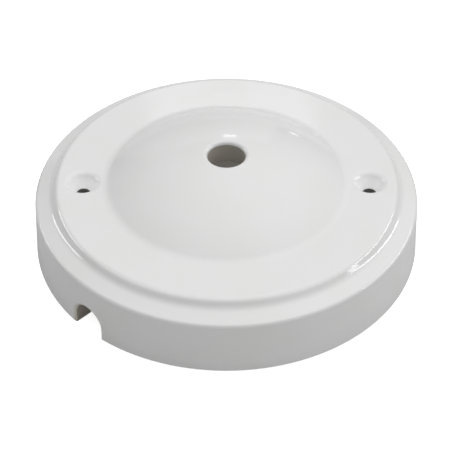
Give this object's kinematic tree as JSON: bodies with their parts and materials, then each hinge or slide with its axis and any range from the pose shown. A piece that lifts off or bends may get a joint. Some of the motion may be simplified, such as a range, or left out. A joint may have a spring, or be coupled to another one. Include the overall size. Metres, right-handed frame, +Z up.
{
  "type": "porcelain ceiling rose",
  "caption": "Round glazed porcelain ceiling rose with a stepped rim, a low dome pierced for a threaded lamp tube, countersunk screw holes, a cable notch and a hollow back.",
  "frame": {"origin": "centre of the foot plane, on the axis of the lamp hole", "axes": "+Z up through the lamp hole, away from the ceiling or wall it is screwed to; X through both screw holes"},
  "size_m": [0.105, 0.105, 0.03],
  "materials": {
    "glazed_porcelain": "glossy clear glaze over white porcelain, bare and matt on the foot ring"
  },
  "bodies": {
    "root": {"rose_body": "glazed_porcelain"}
  },
  "joints": []
}
